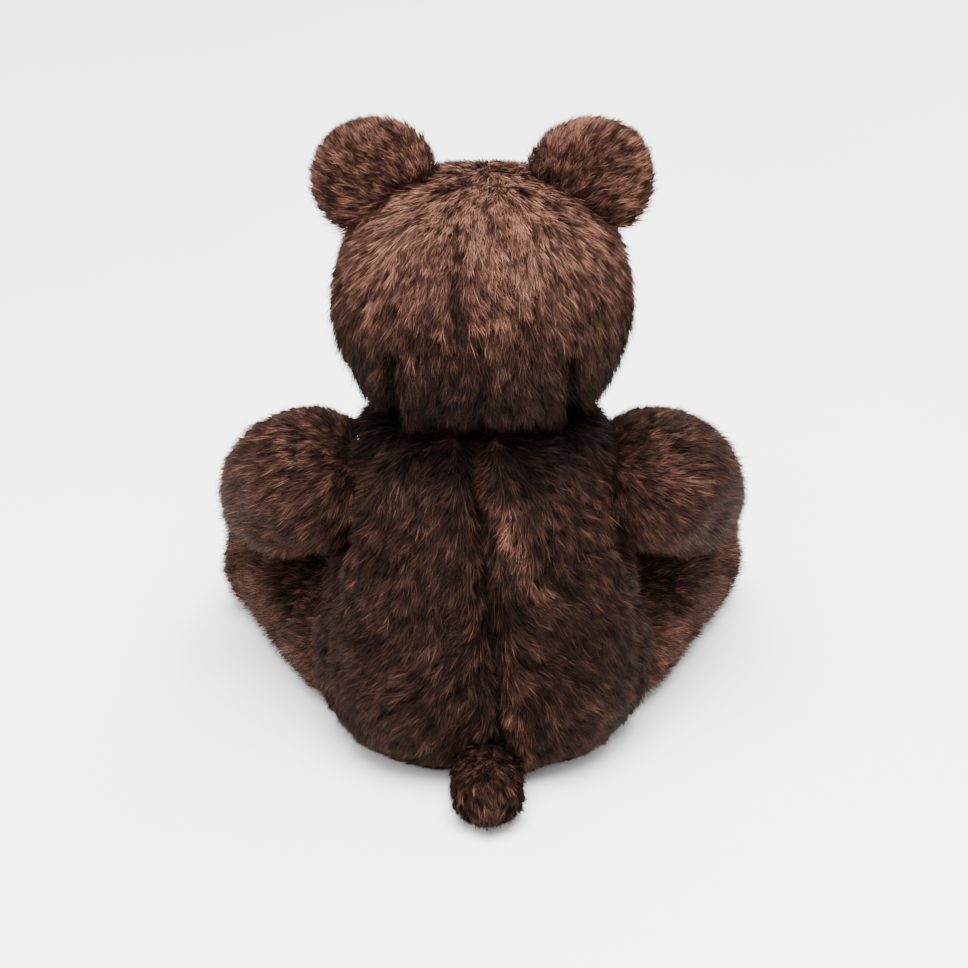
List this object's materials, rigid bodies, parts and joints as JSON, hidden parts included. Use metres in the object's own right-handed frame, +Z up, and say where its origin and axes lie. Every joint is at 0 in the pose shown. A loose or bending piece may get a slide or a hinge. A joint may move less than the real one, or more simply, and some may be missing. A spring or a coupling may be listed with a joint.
{
  "type": "jointed teddy bear",
  "caption": "Seated dark-brown plush teddy bear with turning neck, shoulders and hips on hidden disc joints",
  "frame": {"origin": "middle of the flat seat under the torso, on the plane it sits on", "axes": "+Z up, the bear faces -Y, its left side is +X"},
  "size_m": [0.2464, 0.2302, 0.2988],
  "materials": {
    "plush": "long dark chocolate-brown plush pile on woven backing",
    "lining": "short-pile brown plush",
    "suede": "suede-like knitted cloth",
    "fibrefill": "white polyester fibrefill",
    "thread": "dark waxed thread",
    "black_plastic": "glossy black moulded plastic",
    "clear_plastic": "white moulded plastic",
    "hardboard": "pressed hardboard",
    "zinc_steel": "zinc-plated steel"
  },
  "bodies": {
    "torso": {"torso_front_panel": "plush", "torso_back_left_panel": "plush", "torso_back_right_panel": "plush", "torso_stuffing": "fibrefill", "back_closure_stitches": "thread", "neck_torso_disc": "hardboard", "shoulder_torso_discs": "hardboard", "hip_torso_discs": "hardboard", "torso_joint_washers": "zinc_steel", "tail_skin": "plush", "tail_stuffing": "fibrefill"},
    "head": {"head_face_panel": "plush", "head_back_left_panel": "plush", "head_back_right_panel": "plush", "head_stuffing": "fibrefill", "left_eye": "black_plastic", "right_eye": "black_plastic", "eye_washers": "clear_plastic", "muzzle_skin": "plush", "muzzle_stuffing": "fibrefill", "nose": "black_plastic", "mouth_threads": "thread", "left_ear_back": "plush", "left_ear_front": "lining", "right_ear_back": "plush", "right_ear_front": "lining", "neck_head_disc": "hardboard", "neck_head_washer": "zinc_steel", "neck_bolt": "zinc_steel", "neck_nut": "zinc_steel"},
    "left_arm": {"left_arm_skin": "plush", "left_arm_pad": "suede", "left_arm_stuffing": "fibrefill", "left_arm_joint_disc": "hardboard", "left_arm_joint_washer": "zinc_steel", "left_arm_joint_bolt": "zinc_steel", "left_arm_joint_nut": "zinc_steel"},
    "left_leg": {"left_leg_skin": "plush", "left_leg_pad": "suede", "left_leg_stuffing": "fibrefill", "left_leg_joint_disc": "hardboard", "left_leg_joint_washer": "zinc_steel", "left_leg_joint_bolt": "zinc_steel", "left_leg_joint_nut": "zinc_steel"},
    "right_arm": {"right_arm_skin": "plush", "right_arm_pad": "suede", "right_arm_stuffing": "fibrefill", "right_arm_joint_disc": "hardboard", "right_arm_joint_washer": "zinc_steel", "right_arm_joint_bolt": "zinc_steel", "right_arm_joint_nut": "zinc_steel"},
    "right_leg": {"right_leg_skin": "plush", "right_leg_pad": "suede", "right_leg_stuffing": "fibrefill", "right_leg_joint_disc": "hardboard", "right_leg_joint_washer": "zinc_steel", "right_leg_joint_bolt": "zinc_steel", "right_leg_joint_nut": "zinc_steel"}
  },
  "joints": [
    {"name": "neck", "type": "hinge", "parent": "torso", "child": "head", "pos_m": [0, -0.005, 0.168], "axis": [0, 0, 1], "continuous": true},
    {"name": "left_shoulder", "type": "hinge", "parent": "torso", "child": "left_arm", "pos_m": [0.056, -0.005, 0.131], "axis": [-1, 0, 0], "range_deg": [-4, 200]},
    {"name": "right_shoulder", "type": "hinge", "parent": "torso", "child": "right_arm", "pos_m": [-0.056, -0.005, 0.131], "axis": [-1, 0, 0], "range_deg": [-4, 200]},
    {"name": "left_hip", "type": "hinge", "parent": "torso", "child": "left_leg", "pos_m": [0.042, -0.034, 0.03], "axis": [-1, 0, 0], "range_deg": [-90, 6]},
    {"name": "right_hip", "type": "hinge", "parent": "torso", "child": "right_leg", "pos_m": [-0.042, -0.034, 0.03], "axis": [-1, 0, 0], "range_deg": [-90, 6]}
  ]
}
